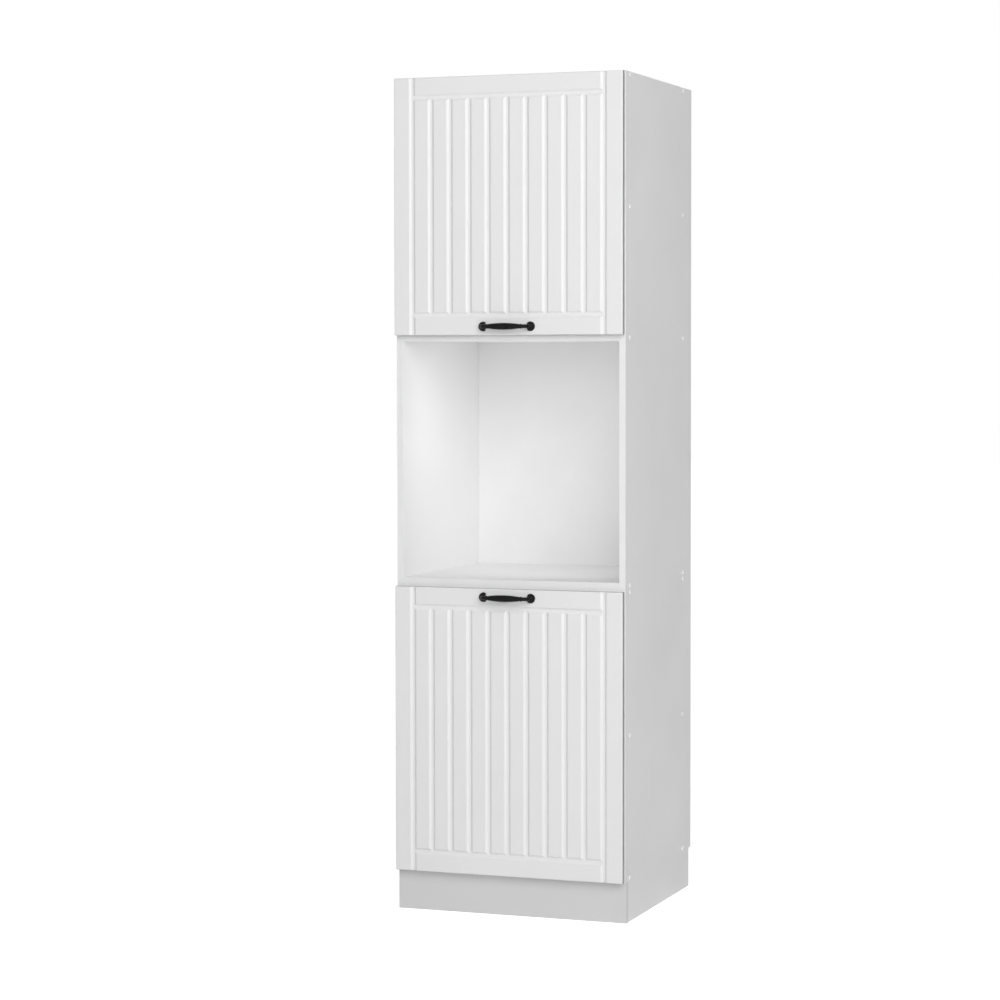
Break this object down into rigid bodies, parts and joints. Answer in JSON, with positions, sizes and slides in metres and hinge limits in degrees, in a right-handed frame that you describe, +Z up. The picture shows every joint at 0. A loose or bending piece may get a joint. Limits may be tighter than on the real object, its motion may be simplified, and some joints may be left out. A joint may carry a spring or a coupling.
{
  "type": "oven housing cabinet",
  "caption": "Tall kitchen cabinet with an open niche for a built-in oven between an upper and a lower compartment, each behind a grooved hinged door with a bow handle.",
  "frame": {"origin": "on the floor, under the middle of the box of the whole, handles and screw caps included", "axes": "+X to the viewer's right, +Y towards the wall behind, +Z up"},
  "size_m": [0.602, 0.6134, 2.08],
  "materials": {
    "white_board": "satin laminate",
    "back_board": "smooth paint",
    "door_film": "matt film on milled board",
    "black_handle": "satin",
    "plated_steel": "bright zinc",
    "white_cap": "satin",
    "bumper": "soft clear"
  },
  "bodies": {
    "carcass": {"lower_side_left": "white_board", "lower_side_right": "white_board", "lower_bottom_panel": "white_board", "lower_shelf": "white_board", "lower_top_panel": "white_board", "plinth_board": "white_board", "upper_side_left": "white_board", "upper_side_right": "white_board", "oven_shelf": "white_board", "niche_top_panel": "white_board", "upper_shelf": "white_board", "top_panel": "white_board", "lower_back_panel": "back_board", "upper_back_panel": "back_board", "upper_hinge_arm_bottom": "plated_steel", "upper_hinge_arm_top": "plated_steel", "upper_hinge_plate_bottom": "plated_steel", "upper_hinge_plate_top": "plated_steel", "upper_plate_screws": "plated_steel", "upper_arm_screws": "plated_steel", "upper_panel_screws": "plated_steel", "upper_screw_caps": "white_cap", "lower_hinge_arm_bottom": "plated_steel", "lower_hinge_arm_top": "plated_steel", "lower_hinge_plate_bottom": "plated_steel", "lower_hinge_plate_top": "plated_steel", "lower_plate_screws": "plated_steel", "lower_arm_screws": "plated_steel", "lower_panel_screws": "plated_steel", "lower_screw_caps": "white_cap", "carcass_connectors": "plated_steel", "plinth_brackets": "plated_steel", "plinth_bracket_screws": "plated_steel", "wall_brackets": "plated_steel", "wall_bracket_screws": "plated_steel"},
    "upper_door": {"upper_door": "door_film", "upper_handle": "black_handle", "upper_handle_screws": "plated_steel", "upper_hinge_cup_bottom": "plated_steel", "upper_hinge_cup_top": "plated_steel", "upper_hinge_pins": "plated_steel", "upper_hinge_springs": "plated_steel", "upper_cup_screws": "plated_steel", "upper_door_bumpers": "bumper"},
    "lower_door": {"lower_door": "door_film", "lower_handle": "black_handle", "lower_handle_screws": "plated_steel", "lower_hinge_cup_bottom": "plated_steel", "lower_hinge_cup_top": "plated_steel", "lower_hinge_pins": "plated_steel", "lower_hinge_springs": "plated_steel", "lower_cup_screws": "plated_steel", "lower_door_bumpers": "bumper"}
  },
  "joints": [
    {"name": "upper_door_hinge", "type": "hinge", "parent": "carcass", "child": "upper_door", "pos_m": [-0.2909, -0.2641, 1.75975], "axis": [0, 0, -1], "range_deg": [0, 105]},
    {"name": "lower_door_hinge", "type": "hinge", "parent": "carcass", "child": "lower_door", "pos_m": [-0.2909, -0.2641, 0.458], "axis": [0, 0, -1], "range_deg": [0, 105]}
  ]
}
